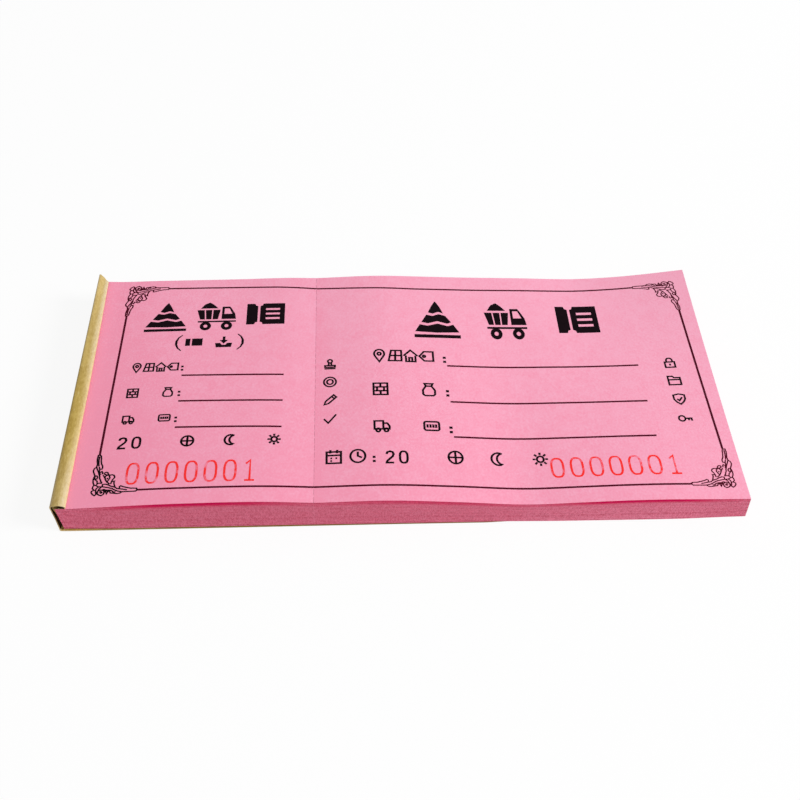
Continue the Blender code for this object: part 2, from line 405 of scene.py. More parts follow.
joints = {joint["name"]: joint for joint in frame["joints"]}
pitch_lines = np.arange(0, 35) * 2.5
comb_lines = np.append(np.stack((pitch_lines, pitch_lines + 1.9), 1).ravel(), DEPTH)
plain_lines = np.concatenate(([0, 0.6, 1.3, 2.6], np.linspace(10, DEPTH, 8)))
comb_ticket = np.concatenate(([PERFORATION + TIE_END], np.linspace(PERFORATION + SLIT, LENGTH, 57)))
plain_ticket = np.linspace(PERFORATION + TIE_END, LENGTH, 41)
leaves = []
for number in range(1, SINGLES + 1):
    leaves.append({"name": f"{number:03d}", "top": LEAVES + 1 - number, "count": 1, "fill": SINGLE_FILL,
                   "stub_body": f"leaf_{number:03d}_stub", "ticket_body": f"leaf_{number:03d}_ticket"})
for number in range(1, BUNDLES + 1):
    body = f"leaf_bundle_{number}"
    leaves.append({"name": f"bundle_{number}", "top": LEAVES - SINGLES - BUNDLE_LEAVES * (number - 1),
                   "count": BUNDLE_LEAVES, "fill": BUNDLE_FILL, "stub_body": body, "ticket_body": body})
for leaf in leaves:
    anchor = joints[f"leaf_{leaf['name']}_turn"]["pos_m"]
    leaf["hinge"] = (anchor[0] / MM + MIDDLE_X, anchor[2] / MM)
    single = leaf["count"] == 1
    leaf["stub_places"] = stub_places(leaf["hinge"][0])
    leaf["ticket_places"] = comb_ticket if single else plain_ticket
    leaf["lines"] = comb_lines if single else plain_lines
    sizes = (leaf["lines"], leaf["top"], leaf["count"], leaf["fill"])
    ties = 1 if single else 0
    stub = leaf_piece("stub_leaf_" + leaf["name"], leaf["stub_places"], *sizes, ties)
    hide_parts("stub_" + leaf["name"], "bound_margin")
    bend_with(stub, leaf["hinge"])
    ticket = leaf_piece("ticket_leaf_" + leaf["name"], leaf["ticket_places"], *sizes, -ties)
    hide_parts("ticket_" + leaf["name"])
    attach(ticket, leaf["ticket_body"])


# Print on the leaves. One black forme of frame, ruled lines and plain picture marks, then a red serial
# from a numbering machine, the same on stub and ticket. The ink lies flat on the paper.
INK_LIFT = 0.14
TOP_INK_LIFT = 0.26
INK_STEP = 0.6
RULE = 0.60
SCROLL_PEN = 0.40
LIGHT_SCROLL_PEN = 0.34
MARK_PEN = 0.58
STUB_MARK_PEN = 0.48
NOTE_PEN = 0.52
YEAR_PEN = 0.62
PAREN_PEN = 0.6
SERIAL_PEN = 0.58
INK_RELIEF = 0.00001
SOLID, RED, FINE = 0, 1, 2


def circle(x, y, radius, start=0.0, turn=360.0):
    """Points round a circle or an arc, in degrees."""
    angles = np.radians(np.linspace(start, start + turn, max(6, int(abs(turn) / 18) + 1)))
    return np.stack((x + radius * np.cos(angles), y + radius * np.sin(angles)), 1)


def rounded(x0, y0, x1, y1, radius):
    """Points round a box with round corners."""
    corners = ((x1 - radius, y1 - radius, 0), (x0 + radius, y1 - radius, 90),
               (x0 + radius, y0 + radius, 180), (x1 - radius, y0 + radius, 270))
    points = [circle(x, y, radius, start, 90) for x, y, start in corners]
    return np.concatenate(points + [points[0][:1]])


def walk(path, along, places):
    """Points at these distances along a path."""
    return np.stack([np.interp(places, along, path[:, axis]) for axis in (0, 1)], 1)


class Forme:
    """Ruled lines and marks for one side of the perforation, kept flat until they are laid on a leaf."""

    def __init__(self, points=(), faces=(), tones=()):
        self.points = list(points)
        self.faces = list(faces)
        self.tones = list(tones)

    def line(self, path, width, tone=FINE, taper=None):
        """An inked line along a path, with mitred corners, in short steps that can follow the paper."""
        path = np.asarray(path, float)
        steps = np.hypot(*np.diff(path, axis=0).T)
        keep = np.append(True, steps > 1e-6)
        path = path[keep]
        steps = np.hypot(*np.diff(path, axis=0).T)
        way = np.diff(path, axis=0) / steps[:, None]
        side = np.stack((-way[:, 1], way[:, 0]), 1)
        closed = np.hypot(*(path[0] - path[-1])) < 1e-6
        before = np.concatenate((side[-1:] if closed else side[:1], side))
        after = np.concatenate((side, side[:1] if closed else side[-1:]))
        mitre = before + after
        mitre = mitre / np.maximum((mitre * after).sum(1), 0.5)[:, None]
        along = np.append(0, np.cumsum(steps))
        cuts = [np.linspace(a, b, max(1, math.ceil((b - a) / INK_STEP)), endpoint=False)
                for a, b in zip(along, along[1:])]
        cuts = np.append(np.concatenate(cuts), along[-1])
        wide = np.full(len(cuts), float(width))
        if taper:
            wide = wide * slope(cuts / along[-1], taper)
        centre = walk(path, along, cuts)
        half = walk(mitre, along, cuts) * wide[:, None] / 2
        self.fill(centre - half, centre + half, tone)

    def fill(self, lower, upper, tone=SOLID):
        """Ink between two rows of as many points."""
        across = max(2, math.ceil(np.hypot(*(upper - lower).T).max() / INK_STEP) + 1)
        start = len(self.points)
        for share in np.linspace(0, 1, across):
            self.points.extend(lower + (upper - lower) * share)
        rows = len(lower)
        for strip in range(across - 1):
            for step in range(rows - 1):
                low = start + strip * rows + step
                self.faces.append((low, low + 1, low + rows + 1, low + rows))
                self.tones.append(tone)

    def mark(self, strokes, x, y, wide, high, pen, tone=SOLID):
        """Strokes drawn on a board of ten by ten, set at a place and a size."""
        for stroke in strokes:
            self.line(np.asarray(stroke, float) / 10 * (wide, high) + (x, y), pen, tone)

    def block(self, shapes, x, y, wide, high):
        """Solid shapes drawn on a board of ten by ten, each by its lower and its upper edge."""
        for shape in shapes:
            edges = [np.asarray(edge, float) / 10 * (wide, high) + (x, y) for edge in shape]
            reach = max(np.ptp(edge[:, 0]) for edge in edges)
            t = np.linspace(0, 1, math.ceil(2 * reach / INK_STEP) + 1)
            rows = []
            for edge in edges:
                along = np.append(0, np.cumsum(np.hypot(*np.diff(edge, axis=0).T)))
                rows.append(walk(edge, along, t * along[-1]))
            self.fill(*rows)

    def lay(self, name, leaf, places):
        """The print as a mesh on the top sheet of a leaf, level with the sheet's own facets."""
        points = np.array(self.points)
        lines = leaf["lines"]
        column = np.clip(np.searchsorted(places, points[:, 0]) - 1, 0, len(places) - 2)
        line = np.clip(np.searchsorted(lines, points[:, 1]) - 1, 0, len(lines) - 2)
        right = (points[:, 0] - places[column]) / (places[column + 1] - places[column])
        back = (points[:, 1] - lines[line]) / (lines[line + 1] - lines[line])
        z = np.zeros(len(points))
        for step_x, part_x in ((0, 1 - right), (1, right)):
            for step_y, part_y in ((0, 1 - back), (1, back)):
                corner = leaf_level(places[column + step_x], lines[line + step_y], leaf["top"])
                z += corner * part_x * part_y
        lift = TOP_INK_LIFT if leaf["top"] == LEAVES else INK_LIFT
        z += lift * swell(points[:, 0], FRONT_TICKET) / LEAVES
        mesh = bpy.data.meshes.new(name)
        mesh.from_pydata(to_book(points[:, 0], points[:, 1], z), [], self.faces)
        for ink in (solid_ink, red_ink, fine_ink):
            mesh.materials.append(ink)
        mesh.polygons.foreach_set("material_index", np.array(self.tones, np.int32))
        piece = bpy.data.objects.new(name, mesh)
        bpy.context.collection.objects.link(piece)
        return piece


def black_ink(name, dense, thin):
    """Black ink between its dense and its thin film, through which some of the paper shows."""
    made, wire = new_material(name)
    film = wire.cloud((900, 900, 900), 3.0, 0.6)
    wire.finish(wire.blend(film, dense, thin), 0.7 + film * 0.2, film, INK_RELIEF, gloss=0.05)
    return made


solid_ink = black_ink("solid_ink", (0.002, 0.001, 0.001, 1), (0.012, 0.004, 0.008, 1))
fine_ink = black_ink("fine_ink", (0.048, 0.001, 0.006, 1), (0.096, 0.003, 0.018, 1))

red_ink, wire = new_material("red_ink")
patch = wire.cloud((330, 330, 330), 3.0, 0.65)
worn = ((patch - 0.53) * 6.0).clamp()
colour = wire.blend(worn * 0.8, (0.95, 0.030, 0.026, 1), PINK_DEEP)
wire.finish(colour, 0.65 + patch * 0.15, patch, INK_RELIEF, gloss=0.15)

DIGITS = {
    "0": [rounded(0.3, 0, 9.7, 10, 3.6)],
    "1": [((1.8, 8.2), (5.4, 10), (5.4, 0)), ((1.2, 0), (9.4, 0))],
    "2": [((0.5, 7.6), (1.6, 9.3), (5, 10), (8.4, 9.3), (9.4, 7.4), (8.2, 5.6), (1.2, 1.5), (0.5, 0),
           (9.6, 0))],
    "3": [((0.8, 8.8), (3, 10), (7, 10), (9, 8.6), (8.6, 6.4), (5, 5.3), (9, 4), (9.6, 2), (7.6, 0.2), (3, 0),
           (0.5, 1.2))],
    "4": [((7.4, 0), (7.4, 10), (0.5, 3), (10, 3))],
    "5": [((9, 10), (1.4, 10), (1, 5.6), (5, 6.2), (8.4, 5.4), (9.6, 3.2), (8.2, 0.7), (4.4, 0), (0.5, 1))],
    "6": [((8.4, 9.2), (5, 10), (1.6, 8.6), (0.5, 5), (0.5, 2.6), (2, 0.4), (5, 0), (8.2, 0.6), (9.5, 2.8),
           (8.2, 5), (5, 5.6), (1.5, 4.8))],
    "7": [((0.4, 10), (9.6, 10), (4.2, 0))],
    "8": [rounded(0.8, 5.2, 9.2, 10, 2.2), rounded(0.2, 0, 9.8, 5.2, 2.4)],
    "9": [((1.6, 0.8), (5, 0), (8.4, 1.4), (9.5, 5), (9.5, 7.4), (8, 9.6), (5, 10), (1.8, 9.4), (0.5, 7.2),
           (1.8, 5), (5, 4.4), (8.5, 5.2))],
}


def ring(x, y, outer, inner):
    """The lower and the upper half of a ring, each by its two edges."""
    return [[circle(x, y, radius, 180, way) for radius in radii]
            for way, radii in ((180, (outer, inner)), (-180, (inner, outer)))]


# Solid picture marks of the heading: a heap of earth, a tipper lorry, a ticket with its stub.
HEADINGS = {
    "heap": [(((0.2, 1.5), (5, 1.3), (9.8, 1.5)),
              ((1.3, 3.3), (3.0, 3.0), (5.2, 3.6), (7.4, 3.0), (8.6, 3.4))),
             (((1.7, 3.9), (3.1, 3.6), (5.2, 4.2), (7.3, 3.6), (8.2, 4.0)),
              ((2.9, 5.8), (4.2, 5.5), (5.6, 6.0), (7.0, 5.6))),
             (((3.3, 6.4), (4.3, 6.1), (5.6, 6.6), (6.6, 6.2)),
              ((3.3, 6.4), (4.1, 8.0), (5.0, 9.4), (5.9, 7.9), (6.6, 6.2))),
             (((0, 0), (10, 0)), ((0, 0.8), (10, 0.8)))],
    "tipper": [(((0.9, 7.2), (5.3, 7.2)), ((0.9, 7.2), (1.9, 8.6), (3.1, 9.2), (4.2, 8.4), (5.3, 7.2))),
               (((1.0, 3.6), (2.2, 3.6)), ((0.1, 6.7), (1.9, 6.7))),
               (((2.5, 3.6), (3.8, 3.6)), ((2.2, 6.7), (3.8, 6.7))),
               (((4.1, 3.6), (5.4, 3.6)), ((4.1, 6.7), (5.9, 6.7))),
               (((6.3, 3.6), (9.9, 3.6)), ((6.3, 5.3), (9.6, 5.3))),
               (((6.3, 5.3), (6.9, 5.3)), ((6.3, 7.7), (6.9, 7.7))),
               (((6.9, 7.1), (8.6, 7.1)), ((6.9, 7.7), (8.2, 7.7))),
               (((8.9, 5.3), (9.6, 5.3)), ((8.1, 7.1), (8.6, 7.1))),
               (((0.5, 2.6), (9.9, 2.6)), ((0.5, 3.1), (9.9, 3.1))),
               *ring(2.5, 1.4, 1.4, 0.5), *ring(7.7, 1.4, 1.4, 0.5)],
    "ticket": [(((0, 1.6), (2.1, 1.6), (2.3, 2.2), (2.9, 2.4)),
                ((0, 8.4), (2.1, 8.4), (2.3, 7.8), (2.9, 7.6))),
               (((3.5, 2.4), (4.1, 2.2), (4.3, 1.6), (5.0, 1.6)),
                ((3.5, 7.6), (4.1, 7.8), (4.3, 8.4), (5.0, 8.4))),
               (((8.7, 1.6), (10, 1.6)), ((8.7, 8.4), (10, 8.4))),
               *((((5.0, low), (8.7, low)), ((5.0, high), (8.7, high)))
                 for low, high in ((1.6, 3.2), (3.8, 4.7), (5.3, 6.2), (6.8, 8.4)))],
    "slip": [(((0, 2.4), (2.8, 2.4)), ((0, 8.4), (2.8, 8.4))),
             (((3.8, 2.4), (10, 2.4)), ((3.8, 8.4), (10, 8.4)))],
    "tray": [(((0.6, 0.6), (9.4, 0.6)),
              ((0, 4.2), (3.0, 4.2), (3.8, 2.6), (6.2, 2.6), (7.0, 4.2), (10, 4.2))),
             (((4.9, 3.8), (5.0, 3.6), (5.1, 3.8)), ((2.4, 6.6), (5.0, 6.7), (7.6, 6.6))),
             (((4.2, 6.5), (5.8, 6.5)), ((4.2, 9.6), (5.8, 9.6)))],
}

# Small line marks of the rows: place, goods, vehicle, date, stamp and safe keeping.
MARKS = {
    "pin": [np.concatenate((circle(5, 6.4, 3.3, -35, 250), ((5, 0.2), (7.7, 4.5)))), circle(5, 6.4, 1.1)],
    "plot": [((0.8, 1), (2.6, 9), (9.2, 9), (9.2, 1), (0.8, 1)), ((1.7, 5), (9.2, 5)), ((5.4, 9), (5, 1))],
    "house": [((0.4, 5), (5, 9.4), (9.6, 5)), ((1.9, 5.2), (1.9, 0.6), (8.1, 0.6), (8.1, 5.2)),
              ((4, 0.6), (4, 3.6), (6, 3.6), (6, 0.6))],
    "tag": [((0.5, 5), (3.6, 8.6), (9.5, 8.6), (9.5, 1.4), (3.6, 1.4), (0.5, 5)), circle(3.6, 5, 0.8)],
    "bricks": [((0.6, 0.8), (0.6, 9.2), (9.4, 9.2), (9.4, 0.8), (0.6, 0.8)), ((0.6, 6.4), (9.4, 6.4)),
               ((0.6, 3.6), (9.4, 3.6)), ((5, 9.2), (5, 6.4)), ((2.8, 6.4), (2.8, 3.6)),
               ((7.2, 6.4), (7.2, 3.6)), ((5, 3.6), (5, 0.8))],
    "sack": [((3.2, 7.6), (1.2, 4.6), (1.2, 1.6), (2.4, 0.6), (7.6, 0.6), (8.8, 1.6), (8.8, 4.6), (6.8, 7.6),
              (3.2, 7.6)), ((3.2, 7.6), (2.4, 9.4), (7.6, 9.4), (6.8, 7.6))],
    "lorry": [((0.4, 2.4), (0.4, 8), (5.8, 8), (5.8, 2.4), (0.4, 2.4)), ((5.8, 6.4), (8.2, 6.4), (9.6, 4.4),
              (9.6, 2.4), (5.8, 2.4)), circle(2.6, 1.7, 1.2), circle(7.6, 1.7, 1.2)],
    "plate": [rounded(0.4, 2, 9.6, 8, 1.2), ((2.4, 3.8), (2.4, 6.2)), ((4.2, 3.8), (4.2, 6.2)),
              ((6, 3.8), (6, 6.2)), ((7.7, 3.8), (7.7, 6.2))],
    "year": [circle(5, 5, 4.4), ((5, 9.4), (5, 0.6)), ((0.6, 5), (9.4, 5))],
    "month": [np.concatenate((circle(4.6, 5, 4.4, 55, 250), circle(7.6, 5, 4.0, 245, -130)))],
    "day": [circle(5, 5, 2.1), ((5, 8), (5, 9.8)), ((5, 2), (5, 0.2)), ((8, 5), (9.8, 5)), ((2, 5), (0.2, 5)),
            ((7.1, 7.1), (8.5, 8.5)), ((2.9, 7.1), (1.5, 8.5)), ((7.1, 2.9), (8.5, 1.5)),
            ((2.9, 2.9), (1.5, 1.5))],
    "calendar": [((0.8, 0.6), (0.8, 8.4), (9.2, 8.4), (9.2, 0.6), (0.8, 0.6)), ((0.8, 6), (9.2, 6)),
                 ((3, 9.8), (3, 7.4)), ((7, 9.8), (7, 7.4)), ((3, 4), (4, 4)), ((6, 4), (7, 4)),
                 ((3, 2.2), (4, 2.2))],
    "clock": [circle(5, 5, 4.4), ((5, 8), (5, 5), (7.4, 3.8))],
    "stamp": [((1, 0.8), (9, 0.8)), ((1.4, 2.2), (1.4, 3.8), (8.6, 3.8), (8.6, 2.2), (1.4, 2.2)),
              ((3.9, 3.8), (4.2, 6.4)), ((6.1, 3.8), (5.8, 6.4)), circle(5, 7.9, 1.6)],
    "seal": [circle(5, 5, 4.4), circle(5, 5, 2.2)],
    "tick": [((0.8, 5), (3.8, 1.4), (9.4, 8.8))],
    "pen": [((1, 1), (2, 4), (7.6, 9.6), (9.6, 7.6), (4, 2), (1, 1)), ((6.2, 8.2), (8.2, 6.2))],
    "lock": [((1.4, 0.6), (1.4, 5.6), (8.6, 5.6), (8.6, 0.6), (1.4, 0.6)),
             np.concatenate((((2.8, 5.6),), circle(5, 7, 2.2, 180, -180), ((7.2, 5.6),))),
             ((5, 4), (5, 2.2))],
    "folder": [((0.6, 1), (0.6, 8.8), (4, 8.8), (5.2, 7.4), (9.4, 7.4), (9.4, 1), (0.6, 1)),
               ((0.6, 5.6), (9.4, 5.6))],
    "shield": [((1, 8.6), (5, 9.6), (9, 8.6), (9, 5), (7.4, 2.4), (5, 0.4), (2.6, 2.4), (1, 5), (1, 8.6)),
               ((3.2, 5.2), (4.6, 3.6), (7, 6.6))],
    "key": [circle(2.9, 5, 2.3), ((5.2, 5), (9.6, 5), (9.6, 2.8)), ((7.6, 5), (7.6, 3.2))],
}


# One corner of the frame: round lobes in the corner, a rose on the diagonal, a leafy double stem along
# each arm and a slim bud where the frame line starts.
CORNER = [
    ((1.3, 13.0), (0.5, 13.1), (0.4, 12.0), (0.5, 11.1), (0.7, 10.2), (0.6, 9.2)),
    ((1.3, 13.0), (1.5, 12.0), (1.6, 11.1), (1.8, 10.2), (2.2, 9.5), (2.3, 8.9), (2.2, 8.5), (1.6, 8.5)),
    ((0.9, 12.7), (0.9, 11.6), (1.0, 10.6), (1.2, 9.4)),
    ((0.6, 9.2), (1.0, 8.3), (1.4, 7.5), (1.7, 6.7), (1.9, 6.3), (2.0, 5.5), (2.3, 5.0), (2.4, 4.6),
     (2.9, 3.9)),
    ((1.3, 9.3), (1.6, 8.4), (1.6, 7.7), (2.0, 6.6)),
    ((0.6, 9.2), (0.1, 8.8), (-0.1, 8.1), (0.1, 7.4), (0.6, 6.4), (0.4, 5.9), (0.3, 5.2), (0.4, 4.3),
     (0.8, 3.4)),
    ((0.7, 5.3), (0.6, 6.3), (1.1, 6.4), (1.4, 5.9), (1.3, 5.4), (0.7, 5.3), (1.4, 4.7), (1.6, 3.9)),
    ((1.8, 7.4), (2.3, 7.7), (2.6, 7.2), (2.5, 6.8)),
    ((4.1, 6.5), (3.5, 6.6), (3.1, 6.9), (3.2, 7.3), (3.6, 7.4), (4.0, 7.2), (4.3, 6.6)),
    ((3.4, 5.8), (3.7, 6.3), (4.4, 6.5), (4.8, 5.5), (4.5, 4.8), (4.1, 4.3), (3.7, 4.9), (3.4, 5.8)),
    ((4.1, 5.6), (4.2, 5.1)),
    ((4.5, 6.3), (5.2, 6.5), (5.8, 6.3), (6.1, 5.7), (5.9, 5.3), (5.6, 4.9), (5.4, 4.3), (5.3, 3.5)),
    ((2.8, 6.5), (3.3, 5.8), (3.7, 4.9), (4.1, 4.3), (5.0, 3.5)),
    ((5.4, 4.3), (6.2, 4.4), (6.1, 3.9), (6.3, 3.2), (6.6, 2.5)),
    ((3.1, 2.9), (3.1, 3.5), (3.7, 3.6), (4.4, 3.4), (5.3, 2.9), (6.5, 2.5), (7.2, 2.0), (8.9, 1.7),
     (10.0, 1.4)),
    ((1.4, 3.5), (1.7, 3.9), (2.2, 4.0), (2.9, 3.9)),
    ((0.9, 1.9), (0.5, 2.4), (0.6, 3.1), (0.8, 3.4), (1.3, 3.3), (2.1, 2.8), (1.6, 2.3), (1.5, 1.8)),
    ((2.1, 2.8), (3.1, 2.8), (4.0, 2.6), (4.9, 2.4), (5.8, 2.1), (6.8, 1.5), (7.5, 1.2), (8.7, 0.9)),
    ((1.5, 1.8), (1.0, 1.8), (0.4, 1.5), (0.4, 1.1), (0.8, 0.5), (1.4, 0.1), (1.8, 0.5), (2.1, 1.4),
     (2.4, 2.2), (2.9, 2.7)),
    ((1.5, 1.8), (1.6, 1.1), (1.8, 0.5)),
    ((2.1, 1.2), (2.1, 0.6), (2.6, 0.2), (3.2, 0.0), (3.8, 0.4), (3.9, 1.1), (3.5, 1.7), (2.8, 1.8),
     (2.4, 1.4)),
    ((2.6, 1.0), (3.0, 1.3), (3.3, 0.9), (2.8, 0.7)),
    ((4.0, 1.2), (4.3, 1.7), (5.1, 1.6)),
    ((4.3, 1.4), (4.9, 1.4)),
    ((3.3, 1.9), (3.9, 1.9), (4.3, 1.1), (4.6, 0.3), (4.9, 1.1), (5.2, 1.6), (5.8, 1.5), (6.3, 1.0),
     (7.0, 0.9)),
    ((4.3, 1.4), (4.6, 0.6), (4.9, 1.4)),
    ((5.2, 1.6), (5.6, 0.7), (6.3, 0.6), (7.4, 0.4), (8.2, 0.5), (8.6, 0.8)),
    ((7.9, 1.9), (7.8, 2.6), (8.1, 2.8), (8.8, 2.5), (9.7, 2.2), (10.9, 1.9), (12.5, 1.8), (12.7, 1.4),
     (12.4, 0.9), (11.1, 0.9), (9.8, 0.9), (8.7, 0.9)),
]
ARM_X, ARM_Y = 12.6, 13.2


def corner_scroll(forme, x, y, end_x, end_y, pen, tone):
    """Sets the corner with its two buds on the ends of the frame lines."""
    stretch = (end_x - x) / ARM_X, (end_y - y) / ARM_Y
    for path in CORNER:
        forme.line(np.asarray(path, float) * stretch + (x, y), pen, tone)


def colon(forme, x, y, size):
    """Two square dots, one over the other."""
    for high in (0.0, 1.9 * size):
        forme.line(((x, y + high), (x + size, y + high)), size, SOLID)


PAREN_TAPER = ((0, 0.5), (0.5, 1.2), (1, 0.5))
stub_forme = Forme()
stub_forme.line(((6.3, 17.6), (6.6, 71.8)), RULE)
stub_forme.line(((17.2, 5.1), (PERFORATION - SLIT, 5.1)), RULE)
stub_forme.line(((17.7, 83.75), (30, 83.69), (40, 83.55), (50, 83.26), (57, 82.83),
                 (PERFORATION - SLIT, 82.53)), RULE)
corner_scroll(stub_forme, 5.5, 3.75, 17.2, 17.6, SCROLL_PEN, SOLID)
corner_scroll(stub_forme, 5.8, 85.2, 17.7, 71.8, SCROLL_PEN, FINE)
for name, x, wide in (("heap", 12.3, 12.0), ("tipper", 26.8, 11.6), ("ticket", 41.3, 11.0)):
    stub_forme.block(HEADINGS[name], x, 64.6, wide, 13.4)
stub_forme.block(HEADINGS["slip"], 24.6, 57.0, 4.8, 5.0)
stub_forme.block(HEADINGS["tray"], 33.0, 57.0, 4.8, 5.0)
stub_forme.line(circle(26.2, 59.5, 4.2, 128, 104), PAREN_PEN, SOLID, PAREN_TAPER)
stub_forme.line(circle(36.6, 59.5, 4.2, -52, 104), PAREN_PEN, SOLID, PAREN_TAPER)
STUB_ROWS = ((46.1, (("pin", 10.5), ("plot", 13.8), ("house", 17.1), ("tag", 20.4))),
             (36.1, (("bricks", 10.5), ("sack", 20.0))),
             (26.3, (("lorry", 10.5), ("plate", 20.0))))
for y, marks in STUB_ROWS:
    stub_forme.line(((24.7, y + 0.1), (52.7, y - 0.42)), RULE)
    colon(stub_forme, 24.3, y + 2.3, 0.7)
    for name, x in marks:
        stub_forme.mark(MARKS[name], x, y + 1.8, 3.2, 3.8, STUB_MARK_PEN)
for digit, x in (("2", 10.6), ("0", 14.2)):
    stub_forme.mark(DIGITS[digit], x, 19.5, 2.05, 3.7, YEAR_PEN)
for name, x in (("year", 26.6), ("month", 38.0), ("day", 49.1)):
    stub_forme.mark(MARKS[name], x, 19.3, 3.6, 4.0, MARK_PEN)

ticket_forme = Forme()
ticket_forme.line(((168.5, 17.0), (167.8, 70.6)), RULE)
ticket_forme.line(((PERFORATION + SLIT, 5.1), (157.8, 5.1)), RULE)
ticket_forme.line(((PERFORATION + SLIT, 82.5), (75, 82.0), (90, 81.65), (105, 81.7), (120, 81.75),
                   (140, 81.85), (156.3, 81.95)), RULE)
corner_scroll(ticket_forme, 169.6, 3.75, 157.9, 17.0, LIGHT_SCROLL_PEN, FINE)
corner_scroll(ticket_forme, 168.6, 83.25, 156.1, 70.6, LIGHT_SCROLL_PEN, FINE)
for name, x, wide in (("heap", 89.5, 13.3), ("tipper", 110.2, 12.4), ("ticket", 131.6, 12.0)):
    ticket_forme.block(HEADINGS[name], x, 60.4, wide, 17.0)
TICKET_ROWS = ((49.0, 1.0, (("pin", 77.0), ("plot", 81.4), ("house", 85.8), ("tag", 90.2))),
               (35.0, 1.8, (("bricks", 77.0), ("sack", 90.2))),
               (22.1, 1.1, (("lorry", 77.0), ("plate", 90.2))))
for y, lift, marks in TICKET_ROWS:
    ticket_forme.line(((98.0, y), (152.0, y)), RULE)
    colon(ticket_forme, 97.0, y + lift + 0.6, 0.85)
    for name, x in marks:
        ticket_forme.mark(MARKS[name], x, y + lift, 4.3, 5.2, MARK_PEN)
NOTES = ((63.5, (("stamp", 47.6), ("seal", 40.6), ("pen", 33.6), ("tick", 26.6))),
         (159.0, (("lock", 47.4), ("folder", 40.4), ("shield", 33.2), ("key", 26.0))))
for x, marks in NOTES:
    for name, y in marks:
        ticket_forme.mark(MARKS[name], x, y, 3.8, 4.2, NOTE_PEN)
for name, x in (("calendar", 64.2), ("clock", 70.4)):
    ticket_forme.mark(MARKS[name], x, 12.6, 4.4, 5.0, MARK_PEN)
colon(ticket_forme, 76.4, 13.2, 0.75)
for digit, x in (("2", 79.9), ("0", 83.4)):
    ticket_forme.mark(DIGITS[digit], x, 12.6, 2.05, 3.9, YEAR_PEN)
for name, x in (("year", 95.8), ("month", 107.2), ("day", 118.0)):
    ticket_forme.mark(MARKS[name], x, 12.5, 4.2, 4.8, MARK_PEN)

for leaf in leaves:
    serial = LEAVES + 1 - leaf["top"]
    for forme, side, x, y, pitch, size in ((stub_forme, "stub", 14.0, 7.2, 4.92, (3.0, 6.8)),
                                           (ticket_forme, "ticket", 122.6, 8.7, 5.08, (3.2, 6.2))):
        numbered = Forme(forme.points, forme.faces, forme.tones)
        for place, digit in enumerate(f"{serial:07d}"):
            numbered.mark(DIGITS[digit], x + pitch * place, y, *size, SERIAL_PEN, RED)
        printed = numbered.lay(f"{side}_print_{leaf['name']}", leaf, leaf[side + "_places"])
        if side == "stub":
            bend_with(printed, leaf["hinge"])
        else:
            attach(printed, leaf["ticket_body"])


# Spine glue. A brushed coat of padding glue that holds the left ends of all the leaves, cream and waxy
# where it has dried on the block.
GLUE_COAT = 0.1
GLUE_DEEP = (0.55, 0.46, 0.28, 1)
GLUE_PALE = (0.80, 0.74, 0.56, 1)
GLUE_RELIEF = 0.00006
SPINE_TOP_GAP = 0.02
glue, wire = new_material("spine_glue_coat")
brushed = wire.cloud((300, 60, 700), 3.0)
wire.finish(wire.blend(brushed, GLUE_DEEP, GLUE_PALE), 0.35 + brushed * 0.2, brushed, GLUE_RELIEF)


def spine_sheet(name, out, thickness, inset, slant, wander, material):
    """A thin sheet on the leaning spine, this far out from the leaves, with slanting and wandering ends."""
    rows, columns = 12, 48
    piece = flat_grid(name, columns, rows)
    along, up, _ = read_points(piece).T
    z = STACK_Z + (FRONT_STUB[0][1] - SPINE_TOP_GAP) * up / rows
    end = inset + slant * (1 - up / rows) + wander * np.sin(up * 1.3) * np.cos(up * 0.7 + 1)
    y = end + (DEPTH - 2 * end) * along / columns
    x = spine_x(y, LEAVES * up / rows) - out
    write_points(piece, to_book(x, y, z))
    apply_modifier(piece, "SOLIDIFY", thickness=thickness * MM, offset=0.0)
    piece.data.materials.append(material)
    bpy.ops.object.shade_smooth_by_angle(angle=SMOOTH)
    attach(piece, "base")
    return piece


glue_coat = spine_sheet("glue_coat", out=0.08, thickness=GLUE_COAT, inset=1.4, slant=0.0, wander=0.35,
                        material=glue)
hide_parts("spine_glue")


# Kraft cover, glued part. Stiff brown wrapping paper, with short fibres and a faint machine grain. One
# panel lies under the pad and one is glued up the spine.
KRAFT_DEEP = (0.445, 0.296, 0.060, 1.0)
KRAFT_MID = (0.600, 0.428, 0.116, 1.0)
KRAFT_PALE = (0.675, 0.548, 0.350, 1.0)
# Near-black brown, for painted shade in the hollows and on cut edges and for a darker tint.
KRAFT_SHADE_AND_TINT = (0.040, 0.013, 0.003, 1.0)
KRAFT_FLECK = (0.80, 0.66, 0.36, 1.0)
KRAFT_MOTTLE = 2.6
KRAFT_RELIEF = 0.00005
KRAFT = 0.22
PRESS_GAP = 0.015
BACK_INSET = 0.1
BACK_SETBACK = 0.45
BACK_RUN_OUT = 8


